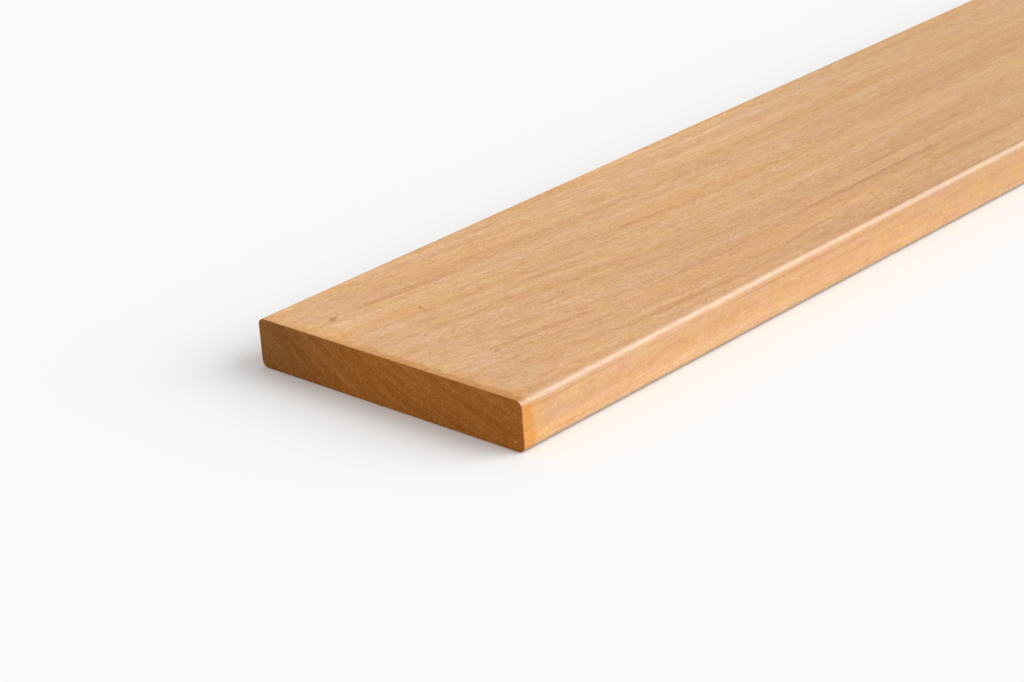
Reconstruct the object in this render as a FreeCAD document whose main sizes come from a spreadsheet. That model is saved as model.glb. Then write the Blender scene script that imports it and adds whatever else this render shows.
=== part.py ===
import FreeCAD, Part
import math
import os
import Sketcher

# Decking board: one length of solid hardwood, planed on all four sides.
# The section is a plain rectangle with its four long arrises rounded over by
# the same cutter. Both ends are sawn square and left sharp.
#
# Millimetres. X runs across the width, Y along the length and Z up.
# The board lies flat, and the origin is at the middle of its underside.

NODE = "decking_board"

document = FreeCAD.newDocument("DeckingBoard")


# Driving sizes
SIZES = (
    ("board_width", 140.0, "across the face, from edge to edge"),
    ("board_thickness", 21.0, "from the underside to the walked face"),
    ("board_length", 2440.0, "from one sawn end to the other"),
    ("arris_radius", 3.0, "rounding of the four long arrises"),
)

sheet = document.addObject("Spreadsheet::Sheet", "Sizes")
for row, (alias, value, meaning) in enumerate(SIZES, start=1):
    sheet.set(f"A{row}", meaning)
    sheet.set(f"B{row}", str(value))
    sheet.setAlias(f"B{row}", alias)
document.recompute()


def origin_plane(body, role):
    """The plane of the body's own origin that has this role."""
    for plane in body.Origin.OriginFeatures:
        if plane.Role == role:
            return plane
    raise ValueError(f"{body.Label} has no {role}")


def draw_section(body):
    """The board's squared section: a rectangle standing on the X axis and centred on it."""
    section = body.newObject("Sketcher::SketchObject", "BoardSection")
    section.AttachmentSupport = (origin_plane(body, "XZ_Plane"), [""])
    section.MapMode = "FlatFace"

    board_width = sheet.board_width
    thickness = sheet.board_thickness
    half_width = board_width / 2
    corners = [
        FreeCAD.Vector(-half_width, 0, 0),
        FreeCAD.Vector(half_width, 0, 0),
        FreeCAD.Vector(half_width, thickness, 0),
        FreeCAD.Vector(-half_width, thickness, 0),
    ]
    underside, right_edge, top_face, left_edge = (
        section.addGeometry(Part.LineSegment(corners[side], corners[(side + 1) % 4]), False)
        for side in range(4)
    )

    sides = (underside, right_edge, top_face, left_edge)
    start_point, end_point = 1, 2
    for side, following in zip(sides, sides[1:] + sides[:1]):
        section.addConstraint(
            Sketcher.Constraint("Coincident", side, end_point, following, start_point)
        )
    section.addConstraint(Sketcher.Constraint("Horizontal", underside))
    section.addConstraint(Sketcher.Constraint("Horizontal", top_face))
    section.addConstraint(Sketcher.Constraint("Vertical", right_edge))
    section.addConstraint(Sketcher.Constraint("Vertical", left_edge))

    # The underside is centred on the origin point
    origin_geometry, origin_point = -1, 1
    section.addConstraint(
        Sketcher.Constraint(
            "Symmetric", underside, start_point, underside, end_point, origin_geometry, origin_point
        )
    )

    width = section.addConstraint(
        Sketcher.Constraint("DistanceX", underside, start_point, underside, end_point, board_width)
    )
    section.renameConstraint(width, "Width")
    section.setExpression("Constraints.Width", "Sizes.board_width")

    depth = section.addConstraint(
        Sketcher.Constraint("DistanceY", right_edge, start_point, right_edge, end_point, thickness)
    )
    section.renameConstraint(depth, "Thickness")
    section.setExpression("Constraints.Thickness", "Sizes.board_thickness")
    return section


def long_arrises(shape, length):
    """Names of the straight edges that run the board's whole length along Y."""
    names = []
    for number, edge in enumerate(shape.Edges, start=1):
        run = edge.Vertexes[-1].Point - edge.Vertexes[0].Point
        if math.isclose(abs(run.y), length) and math.isclose(run.Length, length):
            names.append(f"Edge{number}")
    return names


# Decking board: the squared length of timber, then its arrises rounded over
board = document.addObject("PartDesign::Body", "DeckingBoard")
board.Label = NODE

board_section = draw_section(board)
document.recompute()

squared_length = board.newObject("PartDesign::Pad", "SquaredLength")
squared_length.Profile = board_section
squared_length.SideType = "Symmetric"
squared_length.setExpression("Length", "Sizes.board_length")
document.recompute()

rounded_arrises = board.newObject("PartDesign::Fillet", "RoundedArrises")
rounded_arrises.Base = (squared_length, long_arrises(squared_length.Shape, sheet.board_length))
rounded_arrises.setExpression("Radius", "Sizes.arris_radius")
board.Tip = rounded_arrises
board.Placement = FreeCAD.Placement()
document.recompute()


# Nothing is written unless every object has worked
for item in document.Objects:
    if "Invalid" in item.State or "Error" in item.State:
        raise RuntimeError(f"{item.Label} did not recompute: {item.State}")
if len(rounded_arrises.Base[1]) != 4:
    raise RuntimeError("the board does not have four long arrises")
if board.Shape.isNull() or not board.Shape.isValid():
    raise RuntimeError(f"{board.Label} has no valid shape")

# A square corner less its quarter round is lost at each of the four arrises
corner_loss = (4 - math.pi) * sheet.arris_radius**2
section_area = sheet.board_width * sheet.board_thickness - corner_loss
if not math.isclose(board.Shape.Volume, section_area * sheet.board_length, rel_tol=1e-6):
    raise RuntimeError(f"{board.Label} does not fill its rounded section")

os.makedirs("parts", exist_ok=True)
board.Shape.exportStep(os.path.join("parts", f"{board.Label}.step"))
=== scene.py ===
import math

import bpy
import numpy as np
from mathutils import Matrix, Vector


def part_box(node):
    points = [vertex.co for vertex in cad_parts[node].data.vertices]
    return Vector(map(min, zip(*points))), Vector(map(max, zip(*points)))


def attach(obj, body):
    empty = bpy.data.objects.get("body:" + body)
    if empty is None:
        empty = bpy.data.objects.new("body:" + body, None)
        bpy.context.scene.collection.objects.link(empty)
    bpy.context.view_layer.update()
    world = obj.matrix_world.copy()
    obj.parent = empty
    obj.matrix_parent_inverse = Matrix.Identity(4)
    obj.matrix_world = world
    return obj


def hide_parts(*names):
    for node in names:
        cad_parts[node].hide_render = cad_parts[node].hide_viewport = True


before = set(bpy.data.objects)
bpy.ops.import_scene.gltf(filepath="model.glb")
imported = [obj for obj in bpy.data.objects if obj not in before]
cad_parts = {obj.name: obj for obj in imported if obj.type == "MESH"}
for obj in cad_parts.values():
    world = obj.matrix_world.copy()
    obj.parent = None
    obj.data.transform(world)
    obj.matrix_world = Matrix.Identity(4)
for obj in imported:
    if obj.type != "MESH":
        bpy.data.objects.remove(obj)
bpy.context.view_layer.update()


# Decking board, its shape
# One length of hardwood, sawn square at both ends and planed on all four sides, with the long
# arrises rounded by the same cutter. Handling has just eased the sharp edges of the two saw cuts.

NODE = "decking_board"
board_low, board_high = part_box(NODE)
BOARD_WIDTH = board_high[0] - board_low[0]
BOARD_LENGTH = board_high[1] - board_low[1]
BOARD_THICKNESS = board_high[2] - board_low[2]
NEAR_END = board_low[1]

ARRIS_RADIUS = 0.003
SAWN_EDGE_RADIUS = 0.00035
SAWN_EDGE_WEAR = 0.00012
SAWN_EDGE_LAND = 0.00025
PLANED_RELIEF = 0.00004
ARRIS_RELIEF = 0.00012
SAW_RIPPLE_DEPTH = 0.00003
SAW_RIPPLE_PITCH = 0.0065
SAW_CENTRE = (-0.04, -0.20)

FACE_STEPS = 100
EDGE_STEPS = 14
ARRIS_STEPS = 12
SAWN_EDGE_STEPS = 4
LENGTH_STEPS = 258
END_STEP = 0.0012


def board_section():
    """The rounded section as a closed ring, anticlockwise seen from the near end.

    A ring point is an arris centre plus the radius along its outward direction. On a flat the
    centre slides from one arris to the next and the direction stays; on an arris the centre
    stays and the direction turns. The ring starts halfway round the lower left arris.
    """
    half_arris = ARRIS_STEPS // 2
    reach = np.array([BOARD_WIDTH / 2 - ARRIS_RADIUS, BOARD_THICKNESS / 2 - ARRIS_RADIUS])
    arris_centres = reach * [(-1, -1), (1, -1), (1, 1), (-1, 1)] + (0, BOARD_THICKNESS / 2)
    centres, angles = [], []
    for side, flat_steps in enumerate((FACE_STEPS, EDGE_STEPS, FACE_STEPS, EDGE_STEPS)):
        start, end = arris_centres[side], arris_centres[(side + 1) % 4]
        square_on = (side - 1) * math.pi / 2
        slide = np.linspace(0, 1, flat_steps, endpoint=False)[:, None]
        turn = np.linspace(0, math.pi / 4, half_arris, endpoint=False)
        centres += [np.repeat([start], half_arris, 0), start + slide * (end - start)]
        centres += [np.repeat([end], half_arris, 0)]
        angles += [square_on - math.pi / 4 + turn, np.full(flat_steps, square_on), square_on + turn]
    angles = np.concatenate(angles)
    return np.concatenate(centres), np.column_stack([np.cos(angles), np.sin(angles)])


def graded_stations():
    """Places along the length from 0 to 1, close together at the ends and wide apart between.

    Each gap is the end step plus a share of what is left, and the share goes as the square of
    the sine of the way along.
    """
    swell = np.sin(np.pi * (np.arange(LENGTH_STEPS) + 0.5) / LENGTH_STEPS) ** 2
    spare = BOARD_LENGTH - LENGTH_STEPS * END_STEP
    gaps = END_STEP + swell * spare / swell.sum()
    return np.concatenate([[0], np.cumsum(gaps)]) / BOARD_LENGTH


MOST_TURNS = 3


def ripple(way, turn, seed, shortest, longest, waves):
    """A smooth ripple between 0 and 1.

    It is half of 1 plus the mean of sines. Each sine runs along the way with a wavelength drawn
    between the two given, and makes a whole number of turns round the section.
    """
    draw = np.random.default_rng(seed)
    total = 0
    for _ in range(waves):
        wavelength = draw.uniform(shortest, longest)
        turns = draw.integers(-MOST_TURNS, MOST_TURNS + 1)
        phase = draw.uniform(0, 1)
        total = total + np.sin(2 * math.pi * (way / wavelength + turns * turn + phase))
    return 0.5 + 0.5 * total / waves


def coons_inside(bottom, right, top, left):
    """The inner points of a Coons patch between four edges that run left to right and low to high.

    A point is the blend of bottom and top, plus the blend of left and right, less the blend of
    the four corners.
    """
    def way(edge):
        steps = np.linalg.norm(np.diff(edge, axis=0), axis=1)
        return np.concatenate([[0], np.cumsum(steps)]) / steps.sum()

    u = way(bottom)[:, None, None]
    v = way(right)[None, :, None]
    low_high = (1 - v) * bottom[:, None] + v * top[:, None]
    left_right = (1 - u) * left[None] + u * right[None]
    low_corners = (1 - v) * ((1 - u) * bottom[0] + u * bottom[-1])
    high_corners = v * ((1 - u) * top[0] + u * top[-1])
    return (low_high + left_right - low_corners - high_corners)[1:-1, 1:-1]


def grid_quads(ids):
    """One quad for each cell of a grid of vertex numbers."""
    return np.stack([ids[:-1, :-1], ids[:-1, 1:], ids[1:, 1:], ids[1:, :-1]], -1).reshape(-1, 4)


centres, outward = board_section()
ring_count = len(centres)
ring_outline = centres + ARRIS_RADIUS * outward
ring_gaps = np.linalg.norm(np.roll(ring_outline, -1, 0) - ring_outline, axis=1)
ring_run = np.concatenate([[0], np.cumsum(ring_gaps)])
ring_turn = ring_run[:-1] / ring_run[-1]

# The sawn edge is a quarter round whose size wanders round the ring
wear = 2 * ripple(ring_turn, 0, seed=5, shortest=0.008, longest=0.06, waves=30) - 1
sawn_edge = SAWN_EDGE_RADIUS + SAWN_EDGE_WEAR * wear
quarter = np.linspace(math.pi / 2, 0, SAWN_EDGE_STEPS, endpoint=False)[:, None]
edge_setback = sawn_edge * (1 - np.sin(quarter))
edge_inset = sawn_edge * (1 - np.cos(quarter))

# The planed skin lies a hair inside the outline, most of all on the arrises
stations = graded_stations()[:, None]
planed_way = sawn_edge + stations * (BOARD_LENGTH - 2 * sawn_edge)
arris_share = (2 * outward[:, 0] * outward[:, 1]) ** 2
relief = PLANED_RELIEF + (ARRIS_RELIEF - PLANED_RELIEF) * arris_share
planed_inset = relief * ripple(planed_way, ring_turn, seed=11, shortest=0.10, longest=0.80, waves=12)

way = np.vstack([edge_setback, planed_way, BOARD_LENGTH - edge_setback[::-1]])
inset = np.vstack([edge_inset + planed_inset[0], planed_inset, edge_inset[::-1] + planed_inset[-1]])
skin_xz = centres + (ARRIS_RADIUS - inset)[..., None] * outward
skin = np.stack([skin_xz[..., 0], NEAR_END + way, skin_xz[..., 1]], -1)
row_count = len(skin)

vertices = [skin.reshape(-1, 3)]
skin_ids = np.arange(row_count * ring_count).reshape(row_count, ring_count)
skin_loop = np.column_stack([skin_ids, skin_ids[:, :1]])
faces, chart = [], []

# The chart for baking: the skin as strips side by side, each a third of the length rolled out flat
STRIPS = 3
STRIP_GAP = 0.006
END_FACE_ZOOM = 4

mean_way = way.mean(axis=1)
cuts = [int(np.abs(mean_way - share * BOARD_LENGTH).argmin()) for share in np.linspace(0, 1, STRIPS + 1)]
for strip, (first, last) in enumerate(zip(cuts[:-1], cuts[1:])):
    strip_along = np.repeat(mean_way[first : last + 1, None] - mean_way[first], ring_count + 1, 1)
    strip_across = np.broadcast_to(ring_run + strip * (ring_run[-1] + STRIP_GAP), strip_along.shape)
    faces.append(grid_quads(skin_loop[first : last + 1])[:, ::-1])
    chart.append(np.stack([grid_quads(strip_along)[:, ::-1], grid_quads(strip_across)[:, ::-1]], -1))
strip_length = np.diff(mean_way[cuts]).max() + STRIP_GAP

# Each sawn end: a narrow land inside the eased edge, then a patch of cells across the grain
bottom_end = FACE_STEPS + ARRIS_STEPS
right_end = bottom_end + EDGE_STEPS + ARRIS_STEPS
top_end = right_end + bottom_end
for end, (row, inward) in enumerate(((0, 1), (row_count - 1, -1))):
    land = skin[row].copy()
    land[:, [0, 2]] -= SAWN_EDGE_LAND * outward
    land_id = sum(len(block) for block in vertices)
    closed = np.vstack([land, land[:1]])
    inside = coons_inside(
        closed[: bottom_end + 1],
        closed[bottom_end : right_end + 1],
        closed[right_end : top_end + 1][::-1],
        closed[top_end:][::-1],
    )
    blade = np.hypot(inside[..., 0] - SAW_CENTRE[0], inside[..., 2] - SAW_CENTRE[1])
    inside[..., 1] += inward * SAW_RIPPLE_DEPTH * np.sin(math.pi * blade / SAW_RIPPLE_PITCH) ** 2
    vertices += [land, inside.reshape(-1, 3)]

    land_loop = land_id + np.append(np.arange(ring_count), 0)
    inside_ids = land_id + ring_count + np.arange(inside[..., 0].size)
    patch_ids = np.empty((bottom_end + 1, right_end - bottom_end + 1), int)
    patch_ids[:, 0] = land_loop[: bottom_end + 1]
    patch_ids[-1] = land_loop[bottom_end : right_end + 1]
    patch_ids[:, -1] = land_loop[right_end : top_end + 1][::-1]
    patch_ids[0] = land_loop[top_end:][::-1]
    patch_ids[1:-1, 1:-1] = inside_ids.reshape(inside.shape[:2])
    rim = grid_quads(np.stack([skin_loop[row], land_loop]))[:, ::inward]
    end_face = np.concatenate([rim, grid_quads(patch_ids)[:, ::-inward]])
    corners = np.concatenate(vertices)[end_face]
    up = END_FACE_ZOOM * corners[..., 2]
    over = END_FACE_ZOOM * (corners[..., 0] + BOARD_WIDTH / 2)
    shift = strip_length + end * (END_FACE_ZOOM * BOARD_THICKNESS + STRIP_GAP)
    faces.append(end_face)
    chart.append(np.stack([shift + up, over], -1))

chart = np.concatenate(chart)
chart_size = max(chart[..., 0].max(), chart[..., 1].max())
board_mesh = bpy.data.meshes.new("decking_board_planed")
board_mesh.from_pydata(np.concatenate(vertices), [], np.concatenate(faces).tolist())
board_mesh.shade_smooth()
board_chart = board_mesh.uv_layers.new(name="OFBake")
board_chart.data.foreach_set("uv", (chart / chart_size).astype(np.float32).ravel())
board = bpy.data.objects.new("decking_board_planed", board_mesh)
bpy.context.scene.collection.objects.link(board)
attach(board, "root")
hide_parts(NODE)


# Decking board, its timber
# A dense, oily tropical hardwood with no clear summer and winter wood: fine wavy vessel lines,
# soft bands that follow the growth layers, and darker wood where the saw cut across the fibres.

MIX_SHARE = 0
MIX_FIRST = 6
MIX_SECOND = 7
MIX_RESULT = 2

timber = bpy.data.materials.new("oiled_hardwood")
timber.use_nodes = True
timber_tree = timber.node_tree
timber_tree.nodes.clear()


def timber_node(kind, inputs, **settings):
    """A node of the timber, with its settings made and its inputs either set or linked."""
    node = timber_tree.nodes.new("ShaderNode" + kind)
    for name, value in settings.items():
        setattr(node, name, value)
    for socket, value in inputs.items():
        if isinstance(value, bpy.types.NodeSocket):
            timber_tree.links.new(value, node.inputs[socket])
        else:
            node.inputs[socket].default_value = value
    return node


def calc(operation, *values):
    """One sum on plain numbers."""
    return timber_node("Math", dict(enumerate(values)), operation=operation).outputs[0]


def product(value, *others):
    """All the values multiplied together."""
    for other in others:
        value = calc("MULTIPLY", value, other)
    return value


def between(share, at_none, at_full):
    """A value that goes evenly from the first to the second as the share goes from 0 to 1."""
    return calc("MULTIPLY_ADD", share, at_full - at_none, at_none)


def swing(noise, reach):
    """Noise from 0 to 1 made into a swing from minus half the reach to plus half."""
    return calc("MULTIPLY_ADD", noise, reach, -reach / 2)


def rise(value, start, end):
    """0 below start and 1 above end, with a smooth step between. It falls where start is above end."""
    limits = {"Value": value, "From Min": start, "From Max": end}
    return timber_node("MapRange", limits, interpolation_type="SMOOTHSTEP").outputs[0]


def blend(share, first, second):
    """The first colour turning into the second as the share goes from 0 to 1."""
    colours = {MIX_SHARE: share, MIX_FIRST: first, MIX_SECOND: second}
    return timber_node("Mix", colours, data_type="RGBA").outputs[MIX_RESULT]


def tinted(share, colour, tint):
    """The colour with its red, green and blue multiplied by the tint's, as far as the share goes."""
    colours = {MIX_SHARE: share, MIX_FIRST: colour, MIX_SECOND: (*tint, 1.0)}
    return timber_node("Mix", colours, data_type="RGBA", blend_type="MULTIPLY").outputs[MIX_RESULT]


def seen(red, green, blue):
    """A colour given as it is seen on a screen, from 0 to 255, made linear by the sRGB curve."""
    screen = np.array([red, green, blue]) / 255
    linear = np.where(screen > 0.04045, ((screen + 0.055) / 1.055) ** 2.4, screen / 12.92)
    return (*linear.tolist(), 1.0)


SHIFT_PER_SEED = (1.0, -1.0, 2.7)
NOISE_ROUGHNESS = 0.6


def figure(where, width, length, seed, detail=1.0, depth=None, output="Fac"):
    """Noise from 0 to 1 whose marks have this width, length along the grain and depth, in metres.

    Each seed shows another part of the noise.
    """
    scale = [1 / size for size in (width, length, depth or width)]
    offset = [seed * shift for shift in SHIFT_PER_SEED]
    scaled = timber_node("Mapping", {"Vector": where, "Location": offset, "Scale": scale})
    noise = {
        "Vector": scaled.outputs[0],
        "Scale": 1.0,
        "Detail": detail,
        "Roughness": NOISE_ROUGHNESS,
    }
    return timber_node("TexNoise", noise).outputs[output]


def add_swings(total, swings):
    """The total with the swing of each noise added, from pairs of reach and noise."""
    for reach, noise in swings:
        total = calc("ADD", total, swing(noise, reach))
    return total


MIDDLE_TONE = 0.5


def tone_colours(dark, middle, pale, tone):
    """The timber's colour from its darkest tone, 0, through the middle to its palest, 1."""
    ramp = timber_node("ValToRGB", {0: tone})
    elements = ramp.color_ramp.elements
    elements.new(MIDDLE_TONE)
    for element, colour in zip(elements, (dark, middle, pale)):
        element.color = seen(*colour)
    return ramp.outputs[0]


HIGH_NOISE = (0.50, 0.75)
LOW_NOISE = (0.50, 0.25)


def two_tints(noise, colour, high_tint, low_tint, *shares):
    """The colour with one tint where the noise is high and another where it is low.

    Where shares are given, both tints are multiplied by them.
    """
    colour = tinted(product(rise(noise, *HIGH_NOISE), *shares), colour, high_tint)
    return tinted(product(rise(noise, *LOW_NOISE), *shares), colour, low_tint)


place = timber_node("TexCoord", {}).outputs["Object"]
across, along, upward = timber_node("SeparateXYZ", {0: place}).outputs[:3]
from_near_end = calc("SUBTRACT", along, NEAR_END)
surface_normal = timber_node("NewGeometry", {}).outputs["Normal"]
facing = timber_node("SeparateXYZ", {0: surface_normal}).outputs

# The fibres swing over to the right near the end and then run straight, but for a slow wander
# and a fine waver
SWAY_REACH = 0.0345
SWAY_START = -0.12
SWAY_END = 0.26
SWAY_LEAN = 1.5
WANDER_ACROSS = 0.005
WANDER_UPWARD = 0.003
WAVER = 0.0014

sway_place = calc("MULTIPLY_ADD", calc("MAXIMUM", across, 0.0), SWAY_LEAN, from_near_end)
sway = product(rise(sway_place, SWAY_START, SWAY_END), SWAY_REACH)
wander_colour = figure(place, width=0.09, length=0.55, seed=3.1, output="Color")
wander = timber_node("SeparateColor", {0: wander_colour}).outputs
waver = figure(place, width=0.007, length=0.014, seed=10.4)
grain_across = calc("SUBTRACT", calc("SUBTRACT", across, sway), swing(wander[0], WANDER_ACROSS))
grain_across = calc("SUBTRACT", grain_across, swing(waver, WAVER))
grain_upward = calc("SUBTRACT", upward, swing(wander[1], WANDER_UPWARD))
grain = timber_node("CombineXYZ", {0: grain_across, 1: along, 2: grain_upward}).outputs[0]

# Growth layers: distance from the pith of the trunk, which lay above and to the right
PITH_ACROSS = 0.120
PITH_UPWARD = 0.260

from_pith_across = calc("SUBTRACT", grain_across, PITH_ACROSS)
from_pith_upward = calc("SUBTRACT", PITH_UPWARD, grain_upward)
across_squared = calc("POWER", from_pith_across, 2.0)
upward_squared = calc("POWER", from_pith_upward, 2.0)
layer = calc("SQRT", calc("ADD", across_squared, upward_squared))
round_pith = product(calc("ARCTAN2", from_pith_across, from_pith_upward), PITH_UPWARD)
layers = timber_node("CombineXYZ", {0: layer, 1: along, 2: round_pith}).outputs[0]

# Planed faces: wide soft bands, growth layers, vessel lines, short dashes and a fine mottle,
# all calmer on the edges and further along
FACE_DARK = (191, 129, 62)
FACE_MIDDLE = (215, 164, 112)
FACE_PALE = (238, 197, 152)
FURTHER_ALONG = (0.18, 0.42)
MOTTLE_NEAR = 0.82
MOTTLE_FURTHER = 0.64
CALMER_ON_EDGE = 0.40
CALMER_FURTHER = 0.20

further_along = rise(from_near_end, *FURTHER_ALONG)
on_edge = calc("ABSOLUTE", facing[0])
face_tone = add_swings(
    MIDDLE_TONE,
    (
        (0.20, figure(grain, width=0.016, length=0.30, seed=5.2)),
        (0.50, figure(layers, width=0.0030, length=0.22, seed=1.3, depth=0.05)),
        (0.28, figure(grain, width=0.0014, length=0.060, seed=7.7)),
        (0.36, figure(grain, width=0.0030, length=0.011, seed=3.8)),
        (0.36, figure(grain, width=0.0011, length=0.007, seed=9.4)),
        (0.50, figure(grain, width=0.0012, length=0.0024, seed=2.6)),
    ),
)
mottle = calc("SUBTRACT", figure(grain, width=0.0005, length=0.0008, seed=6.6), 0.5)
mottle_reach = between(further_along, MOTTLE_NEAR, MOTTLE_FURTHER)
face_tone = calc("MULTIPLY_ADD", mottle, mottle_reach, face_tone)
contrast = calc("MULTIPLY_ADD", on_edge, -CALMER_ON_EDGE, 1.0)
contrast = calc("MULTIPLY_ADD", further_along, -CALMER_FURTHER, contrast)
face_tone = calc("MULTIPLY_ADD", calc("SUBTRACT", face_tone, MIDDLE_TONE), contrast, MIDDLE_TONE)
face_colour = tone_colours(FACE_DARK, FACE_MIDDLE, FACE_PALE, face_tone)

# Some streaks are warmer and some cooler, and small patches are pinker or yellower
WARM_STREAK = (1.03, 1.00, 0.88)
COOL_STREAK = (0.97, 1.00, 1.11)
STREAKS_FURTHER = 0.65
PINK_PATCH = (1.00, 0.945, 1.06)
YELLOW_PATCH = (1.00, 1.04, 0.90)
PATCHES_ON_EDGE = 1.5

warmth = figure(grain, width=0.011, length=0.11, seed=4.4, detail=2.0, depth=0.0045)
warmth_share = between(further_along, 1.0, STREAKS_FURTHER)
face_colour = two_tints(warmth, face_colour, WARM_STREAK, COOL_STREAK, warmth_share)
patches = figure(grain, width=0.0036, length=0.014, seed=8.3, detail=2.0)
patch_share = between(on_edge, 1.0, PATCHES_ON_EDGE)
face_colour = two_tints(patches, face_colour, PINK_PATCH, YELLOW_PATCH, patch_share)

# The edges are painted paler than the face as painted light, paler still low down as painted light
# thrown up from below, and darker and less red further along as painted fall-off of the light
EDGE_TURN = (0.50, 1.00)
EDGE_PAINTED_LIGHT_TINT = (1.028, 1.032, 1.125)
LOW_DOWN = (0.0115, 0.0035)
LOW_EDGE_PAINTED_BOUNCE_TINT = (1.085, 1.135, 1.17)
FURTHER_PAINTED_FALLOFF_TINT = (0.935, 0.97, 0.985)

edge_share = rise(on_edge, *EDGE_TURN)
low_edge_painted_bounce = product(edge_share, rise(upward, *LOW_DOWN))
face_colour = tinted(edge_share, face_colour, EDGE_PAINTED_LIGHT_TINT)
face_colour = tinted(low_edge_painted_bounce, face_colour, LOW_EDGE_PAINTED_BOUNCE_TINT)
face_colour = tinted(further_along, face_colour, FURTHER_PAINTED_FALLOFF_TINT)

# The right arrises are painted paler and bluer, a painted highlight where they turn to the light, and
# past the end that was handled a darker line of painted shade runs along the top of them
RIGHTWARD = (-0.060, 0.030)
ARRIS_TURN = (0.0, 0.7)
ARRIS_PAINTED_HIGHLIGHT_TINT = (0.90, 0.995, 1.17)
PAST_HANDLED = (0.03, 0.25)
OFF_THE_FACE = (0.9998, 0.985)
OFF_THE_ARRIS = (0.80, 0.90)
ARRIS_TOP_PAINTED_SHADE_TINT = (0.84, 0.75, 0.67)

to_the_right = rise(across, *RIGHTWARD)
turned = product(facing[0], facing[2], 2.0)
painted_arris_highlight = product(rise(calc("ABSOLUTE", turned), *ARRIS_TURN), to_the_right)
face_colour = tinted(painted_arris_highlight, face_colour, ARRIS_PAINTED_HIGHLIGHT_TINT)
less_handled = rise(from_near_end, *PAST_HANDLED)
# Painted shade along the upper edge of the arris highlight
painted_arris_top_shade = product(rise(facing[2], *OFF_THE_ARRIS), rise(facing[2], *OFF_THE_FACE))
painted_arris_top_shade = product(painted_arris_top_shade, to_the_right, less_handled)
face_colour = tinted(painted_arris_top_shade, face_colour, ARRIS_TOP_PAINTED_SHADE_TINT)

# Near the end the left half of the face is a little paler than the right
PALER_LEFT = (0.010, -0.050)
PALER_LEFT_TINT = (1.030, 1.048, 1.09)
DARKER_RIGHT = (0.000, 0.045)
DARKER_RIGHT_TINT = (0.993, 0.982, 0.993)

near_face = product(calc("SUBTRACT", 1.0, on_edge), calc("SUBTRACT", 1.0, further_along))
face_colour = tinted(product(near_face, rise(across, *PALER_LEFT)), face_colour, PALER_LEFT_TINT)
face_colour = tinted(product(near_face, rise(across, *DARKER_RIGHT)), face_colour, DARKER_RIGHT_TINT)

# Darker streaks run with the grain near the end, pin knots lie between them, and a few pale
# streaks run beside them
MARK_DEPTH = 0.004
MARK_FADE = (1.0, 0.3)
DARK_STREAK_TINT = (0.59, 0.34, 0.12)
STREAK_LINES = (0.55, 1.45)
PIN_KNOT_TINT = (0.50, 0.28, 0.12)
PALE_STREAK_TINT = (1.06, 1.10, 1.14)
PALE_STRIP_TINT = (1.10, 1.135, 1.20)
PALE_FLECK = (255, 226, 178)


def mark(middle, reach, slant=0):
    """An oval mark: 1 round its middle, falling smoothly to 0 at its edge, a reach away."""
    oval = {"Vector": place, "Location": middle, "Rotation": (0, 0, math.radians(slant)), "Scale": reach}
    from_middle = timber_node("Mapping", oval, vector_type="TEXTURE").outputs[0]
    distance = timber_node("VectorMath", {0: from_middle}, operation="LENGTH").outputs["Value"]
    return rise(distance, *MARK_FADE)


def face_marks(*rows):
    """Marks on the walked face, the strongest of them at each place.

    A row gives the mark's strength, its place across and along from the near end, its half width
    and half length in metres, and its slant in degrees.
    """
    together = 0.0
    for strength, mark_across, mark_along, half_width, half_length, slant in rows:
        middle = (mark_across, NEAR_END + mark_along, BOARD_THICKNESS)
        share = mark(middle, (half_width, half_length, MARK_DEPTH), slant)
        together = calc("MAXIMUM", together, product(share, strength))
    return together


dark_streaks = face_marks(
    (0.32, -0.0408, 0.0520, 0.0026, 0.0460, -7.0),
    (0.22, -0.0055, 0.0980, 0.0018, 0.0240, -9.0),
    (0.21, -0.0105, 0.1680, 0.0024, 0.0460, -7.0),
    (0.37, 0.0318, 0.0540, 0.0026, 0.0380, -8.0),
    (0.22, 0.0585, 0.1020, 0.0024, 0.0400, -4.0),
    (0.26, 0.0400, 0.1420, 0.0013, 0.0480, -2.3),
    (0.24, 0.0551, 0.1880, 0.0012, 0.0260, 4.6),
    (0.18, 0.0620, 0.1960, 0.0016, 0.0240, 8.5),
    (0.15, 0.0300, 0.2960, 0.0014, 0.0600, 0.0),
    (0.37, 0.0397, 0.2650, 0.0022, 0.0900, 0.0),
    (0.15, 0.0507, 0.3170, 0.0026, 0.0400, -1.6),
    (0.20, 0.0660, 0.2500, 0.0030, 0.0900, 0.0),
)
streak_lines = figure(grain, width=0.0008, length=0.022, seed=3.3)
dark_streaks = product(dark_streaks, between(streak_lines, *STREAK_LINES))
face_colour = tinted(dark_streaks, face_colour, DARK_STREAK_TINT)
pin_knots = face_marks(
    (0.60, -0.0434, 0.0153, 0.0022, 0.0037, 25.0),
    (0.66, -0.0233, 0.0435, 0.0007, 0.0022, 60.0),
    (0.52, -0.0020, 0.0251, 0.0010, 0.0014, 0.0),
    (0.44, 0.0305, 0.0298, 0.0013, 0.0026, 10.0),
)
face_colour = tinted(pin_knots, face_colour, PIN_KNOT_TINT)
pale_streaks = face_marks(
    (1.00, 0.0550, 0.1020, 0.0013, 0.0420, -4.0),
    (1.00, 0.0526, 0.1880, 0.0011, 0.0260, 4.6),
    (1.00, -0.0430, 0.0203, 0.0016, 0.0024, 0.0),
)
face_colour = tinted(pale_streaks, face_colour, PALE_STREAK_TINT)
pale_strip = face_marks((0.90, 0.0620, 0.0360, 0.0085, 0.0420, 0.0))
face_colour = tinted(pale_strip, face_colour, PALE_STRIP_TINT)
pale_fleck = face_marks((0.70, 0.0523, 0.0893, 0.0005, 0.0018, 40.0))
face_colour = blend(pale_fleck, face_colour, seen(*PALE_FLECK))

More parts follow.
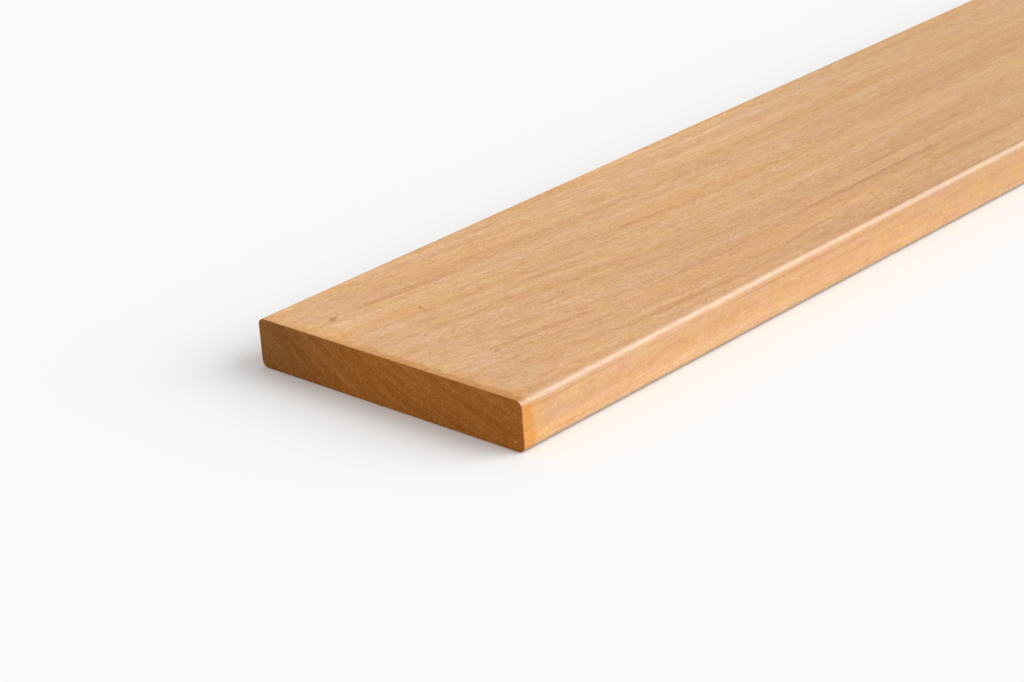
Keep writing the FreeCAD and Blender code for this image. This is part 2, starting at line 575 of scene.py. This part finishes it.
# The left arris and the wood beside it are painted warmer, in long patches, as painted shade where
# the arris turns away from the light
LEFT_MARGIN = (-0.058, -0.068)
LEFT_ARRIS_PATCHES = (0.3, 0.6)
LEFT_ARRIS_PAINTED_SHADE_TINT = (1.02, 0.97, 0.82)

left_arris_patches = rise(figure(grain, width=0.01, length=0.09, seed=7.1), *LEFT_ARRIS_PATCHES)
painted_left_arris_shade = product(rise(across, *LEFT_MARGIN), left_arris_patches)
face_colour = tinted(painted_left_arris_shade, face_colour, LEFT_ARRIS_PAINTED_SHADE_TINT)

# Oil has soaked in from the sawn ends, deeper below the walked face than in it and deeper to the
# right, with a ragged front and a faint halo past it
SOAK_DEPTH = 0.0024
SOAK_DEEPER_BELOW = 0.0021
SOAK_DEEPER_RIGHT = 0.0014
SOAK_RAGGED = 0.0044
SOAK_FRONT = (0.0010, -0.0010)
SOAK_LEFT_SHARE = 0.35
BELOW_FACE = (0.0206, 0.0185)
SOAK_TINT = (0.97, 0.79, 0.49)
SOAKED_FACE_TINT = (0.86, 0.925, 1.06)
OILIEST_PATCHES = (0.45, 0.65)
OILIEST_TINT = (1.01, 0.99, 0.80)
HALO_REACH = 0.009
HALO_ON_FACE = 0.5
HALO_TINT = (1.03, 0.98, 0.84)

ragged = swing(figure(place, width=0.005, length=0.03, seed=1.9), SOAK_RAGGED)
from_sawn_end = calc("ADD", calc("SUBTRACT", BOARD_LENGTH / 2, calc("ABSOLUTE", along)), ragged)
below_face = rise(upward, *BELOW_FACE)
on_walked_face = calc("SUBTRACT", 1.0, below_face)
soak_depth = calc("MULTIPLY_ADD", below_face, SOAK_DEEPER_BELOW, SOAK_DEPTH)
soak_depth = calc("MULTIPLY_ADD", to_the_right, SOAK_DEEPER_RIGHT, soak_depth)
past_soak = calc("SUBTRACT", from_sawn_end, soak_depth)
soaked = product(rise(past_soak, *SOAK_FRONT), between(to_the_right, SOAK_LEFT_SHARE, 1.0))
face_colour = tinted(soaked, face_colour, SOAK_TINT)
face_colour = tinted(product(soaked, on_walked_face), face_colour, SOAKED_FACE_TINT)
oiliest = rise(figure(place, width=0.012, length=0.05, seed=6.2), *OILIEST_PATCHES)
face_colour = tinted(product(soaked, oiliest), face_colour, OILIEST_TINT)
halo = product(rise(past_soak, HALO_REACH, 0.0), between(below_face, HALO_ON_FACE, 1.0))
face_colour = tinted(halo, face_colour, HALO_TINT)

# The saw has bruised the very corner where each edge meets the cut
BRUISE_FRONT = (0.0008, -0.0008)
BRUISE_TINT = (0.52, 0.45, 0.42)

bruised_corner = product(rise(from_sawn_end, *BRUISE_FRONT), edge_share)
face_colour = tinted(bruised_corner, face_colour, BRUISE_TINT)

# Behind the soaked wood, handling has left a slightly paler zone across the walked face
PALER_FROM = (0.004, 0.014)
PALER_TO = (0.0295, 0.0270)
HANDLED_TINT = (1.005, 1.03, 1.11)

handled = product(rise(from_sawn_end, *PALER_TO), rise(from_sawn_end, *PALER_FROM), on_walked_face)
face_colour = tinted(handled, face_colour, HANDLED_TINT)

# The rounding cutter has left a faint line, here and there, where each arris meets the edge
CUTTER_LINE_SETBACK = 0.0040
CUTTER_LINE_HALF_WIDTH = (0.0006, 0.0001)
SQUARE_ON_EDGE = (0.9, 0.99)
CUTTER_LINE_PATCHES = (0.40, 0.60)
CUTTER_LINE_TINT = (0.90, 0.86, 0.80)

from_middle_height = calc("ABSOLUTE", calc("SUBTRACT", upward, BOARD_THICKNESS / 2))
line_height = BOARD_THICKNESS / 2 - CUTTER_LINE_SETBACK
from_cutter_line = calc("ABSOLUTE", calc("SUBTRACT", from_middle_height, line_height))
cutter_line = product(rise(from_cutter_line, *CUTTER_LINE_HALF_WIDTH), rise(on_edge, *SQUARE_ON_EDGE))
line_patches = rise(figure(place, width=0.02, length=0.12, seed=5.5), *CUTTER_LINE_PATCHES)
face_colour = tinted(product(cutter_line, line_patches), face_colour, CUTTER_LINE_TINT)

# Sawn ends: the same layers cut across, so they show as faint arcs
END_DARK = (147, 62, 0)
END_MIDDLE = (180, 109, 33)
END_PALE = (212, 142, 74)
END_LEFT = (-0.010, -0.070)
END_LEFT_TINT = (0.69, 0.78, 1.15)
END_PINK_PATCH = (1.02, 0.95, 1.05)
END_YELLOW_PATCH = (0.98, 1.04, 0.92)
END_FLECK = (250, 200, 140)
END_FLECK_PLACE = (0.066, NEAR_END, 0.0038)
END_FLECK_REACH = (0.0004, 0.003, 0.0008)
END_FLECK_SHARE = 0.8
ACROSS_FIBRES = (0.45, 0.85)

end_tone = add_swings(
    MIDDLE_TONE,
    (
        (0.40, figure(layers, width=0.0050, length=0.35, seed=4.9, depth=0.05)),
        (0.45, figure(layers, width=0.0014, length=0.35, seed=1.3, depth=0.012)),
        (0.50, figure(grain, width=0.0013, length=0.05, seed=6.1)),
        (0.84, figure(grain, width=0.0006, length=0.05, seed=3.7)),
    ),
)
end_colour = tone_colours(END_DARK, END_MIDDLE, END_PALE, end_tone)
end_colour = tinted(rise(across, *END_LEFT), end_colour, END_LEFT_TINT)
end_patches = figure(grain, width=0.0026, length=0.05, seed=6.8, detail=2.0)
end_colour = two_tints(end_patches, end_colour, END_PINK_PATCH, END_YELLOW_PATCH)
end_fleck = product(mark(END_FLECK_PLACE, END_FLECK_REACH), END_FLECK_SHARE)
end_colour = blend(end_fleck, end_colour, seen(*END_FLECK))
across_fibres = rise(calc("ABSOLUTE", facing[1]), *ACROSS_FIBRES)
colour = blend(across_fibres, face_colour, end_colour)

# The planer's knives leave a ripple across the grain, and the open vessels lie along it. The
# right arrises shine where hands have burnished them
KNIFE_PITCH = 0.0026
KNIFE_SHARE = 0.08
RELIEF_DEPTH = 0.0001
RELIEF_STRENGTH = 0.35
PLANED_ROUGHNESS = 0.46
VESSELS_ROUGHER = 0.12
BURNISHED_SMOOTHER = 0.22
SAWN_ROUGHER = 0.30
BURNISHED_FURTHER = 0.72
TIMBER_IOR = 1.45
TIMBER_SHINE = 0.3
BURNISH_IOR = 1.55
BURNISH_ROUGHNESS = 0.32

vessels = figure(grain, width=0.0004, length=0.010, seed=12.5, detail=2.0)
knife_ripple = calc("SINE", product(along, 2 * math.pi / KNIFE_PITCH))
relief_height = calc("MULTIPLY_ADD", knife_ripple, KNIFE_SHARE, vessels)
bump = timber_node(
    "Bump",
    {"Strength": RELIEF_STRENGTH, "Distance": RELIEF_DEPTH, "Height": relief_height},
)
burnished = product(calc("POWER", turned, 2.0), between(less_handled, 1.0, BURNISHED_FURTHER))
roughness = calc("MULTIPLY_ADD", vessels, VESSELS_ROUGHER, PLANED_ROUGHNESS)
roughness = calc("MULTIPLY_ADD", burnished, -BURNISHED_SMOOTHER, roughness)
roughness = calc("MULTIPLY_ADD", across_fibres, SAWN_ROUGHER, roughness)
finish = timber_node(
    "BsdfPrincipled",
    {
        "Base Color": colour,
        "Roughness": roughness,
        "IOR": TIMBER_IOR,
        "Specular IOR Level": TIMBER_SHINE,
        "Coat Weight": burnished,
        "Coat IOR": BURNISH_IOR,
        "Coat Roughness": BURNISH_ROUGHNESS,
        "Normal": bump.outputs[0],
    },
)
timber_node("OutputMaterial", {0: finish.outputs[0]})
board_mesh.materials.append(timber)


# Floor
# A plain pale studio floor of matt paper, level with the underside of the board. To the camera it
# is nearly white, but it throws back less light than that, so that it doesn't wash out the edge.

FLOOR_REACH = 9.0
PAPER_ROUGHNESS = 0.9
PAPER_SEEN = 0.97
PAPER_THROWN_BACK = 0.62

floor_mesh = bpy.data.meshes.new("floor")
floor_corners = np.array([(-1, -1, 0), (1, -1, 0), (1, 1, 0), (-1, 1, 0)]) * FLOOR_REACH
floor_mesh.from_pydata(floor_corners, [], [(0, 1, 2, 3)])
floor = bpy.data.objects.new("floor", floor_mesh)
bpy.context.scene.collection.objects.link(floor)

paper = bpy.data.materials.new("pale_floor")
paper.use_nodes = True
paper_nodes = paper.node_tree.nodes
paper_links = paper.node_tree.links
paper_shader = paper_nodes["Principled BSDF"]
paper_shader.inputs["Roughness"].default_value = PAPER_ROUGHNESS
paper_shader.inputs["Specular IOR Level"].default_value = 0.0
paper_ray = paper_nodes.new("ShaderNodeLightPath")
paper_mix = paper_nodes.new("ShaderNodeMix")
paper_mix.data_type = "RGBA"
paper_mix.inputs[MIX_FIRST].default_value = (PAPER_THROWN_BACK, PAPER_THROWN_BACK, PAPER_THROWN_BACK, 1)
paper_mix.inputs[MIX_SECOND].default_value = (PAPER_SEEN, PAPER_SEEN, PAPER_SEEN, 1)
paper_links.new(paper_ray.outputs["Is Camera Ray"], paper_mix.inputs[MIX_SHARE])
paper_links.new(paper_mix.outputs[MIX_RESULT], paper_shader.inputs["Base Color"])
floor_mesh.materials.append(paper)


# Studio light
# One broad soft light stands behind the board to its right, and a white room fills the shade.
# Seen by the camera or in a shine the room is fully white, and it lights the board less than that.

KEY_DIRECTION = (0.71, 0.49, 0.505)
KEY_STRENGTH = 2.45
KEY_BREADTH = math.radians(60)
ROOM_LEVEL = 0.60

key_data = bpy.data.lights.new("key_light", "SUN")
key_data.energy = KEY_STRENGTH
key_data.angle = KEY_BREADTH
key = bpy.data.objects.new("key_light", key_data)
bpy.context.scene.collection.objects.link(key)


def facing_matrix(right, up, back):
    """A turn whose own axes are these three directions."""
    return Matrix(np.column_stack([right, up, back]).tolist()).to_4x4()


def turned_to(back):
    """Right, up and back directions of something that looks away from back, kept level."""
    back = np.array(back) / np.linalg.norm(back)
    right = np.cross((0, 0, 1), back)
    right /= np.linalg.norm(right)
    return right, np.cross(back, right), back


key.matrix_world = facing_matrix(*turned_to(KEY_DIRECTION))

room = bpy.data.worlds.new("studio")
room.use_nodes = True
bpy.context.scene.world = room
room_nodes = room.node_tree.nodes
room_links = room.node_tree.links
room_light = room_nodes["Background"]
room_light.inputs["Color"].default_value = (1, 1, 1, 1)
room_ray = room_nodes.new("ShaderNodeLightPath")
room_seen = room_nodes.new("ShaderNodeMath")
room_seen.operation = "MAXIMUM"
room_links.new(room_ray.outputs["Is Camera Ray"], room_seen.inputs[0])
room_links.new(room_ray.outputs["Is Glossy Ray"], room_seen.inputs[1])
room_level = room_nodes.new("ShaderNodeMapRange")
room_level.inputs["To Min"].default_value = ROOM_LEVEL
room_level.inputs["To Max"].default_value = 1.0
room_links.new(room_seen.outputs[0], room_level.inputs["Value"])
room_links.new(room_level.outputs[0], room_light.inputs["Strength"])


# Camera
# It stands off the near end to the right and looks down along the board, as in the photograph.
# Its place, lens and direction are those that bring the board's edges onto the photograph's.

PHOTO_WIDTH_PIXELS = 1024
FOCAL_PIXELS = 2802.4
SENSOR_WIDTH_MM = 36.0
NEAREST_SEEN = 0.01
VIEW_AZIMUTH = math.radians(44.140)
VIEW_ELEVATION = math.radians(23.329)
VIEW_ROLL = math.radians(-4.152)
CAMERA_FROM_NEAR_END = (0.70781, -0.65969, 0.44087)

view_back = (
    math.sin(VIEW_AZIMUTH) * math.cos(VIEW_ELEVATION),
    -math.cos(VIEW_AZIMUTH) * math.cos(VIEW_ELEVATION),
    math.sin(VIEW_ELEVATION),
)
level_right, level_up, back = turned_to(view_back)
right = math.cos(VIEW_ROLL) * level_right + math.sin(VIEW_ROLL) * level_up
up = math.cos(VIEW_ROLL) * level_up - math.sin(VIEW_ROLL) * level_right
camera_place = np.add(CAMERA_FROM_NEAR_END, (0, NEAR_END, 0))

camera_data = bpy.data.cameras.new("camera")
camera_data.sensor_width = SENSOR_WIDTH_MM
camera_data.lens = FOCAL_PIXELS * SENSOR_WIDTH_MM / PHOTO_WIDTH_PIXELS
camera_data.clip_start = NEAREST_SEEN
camera = bpy.data.objects.new("camera", camera_data)
bpy.context.scene.collection.objects.link(camera)
camera.matrix_world = Matrix.Translation(camera_place) @ facing_matrix(right, up, back)
bpy.context.scene.camera = camera
bpy.context.scene.view_settings.view_transform = "Standard"
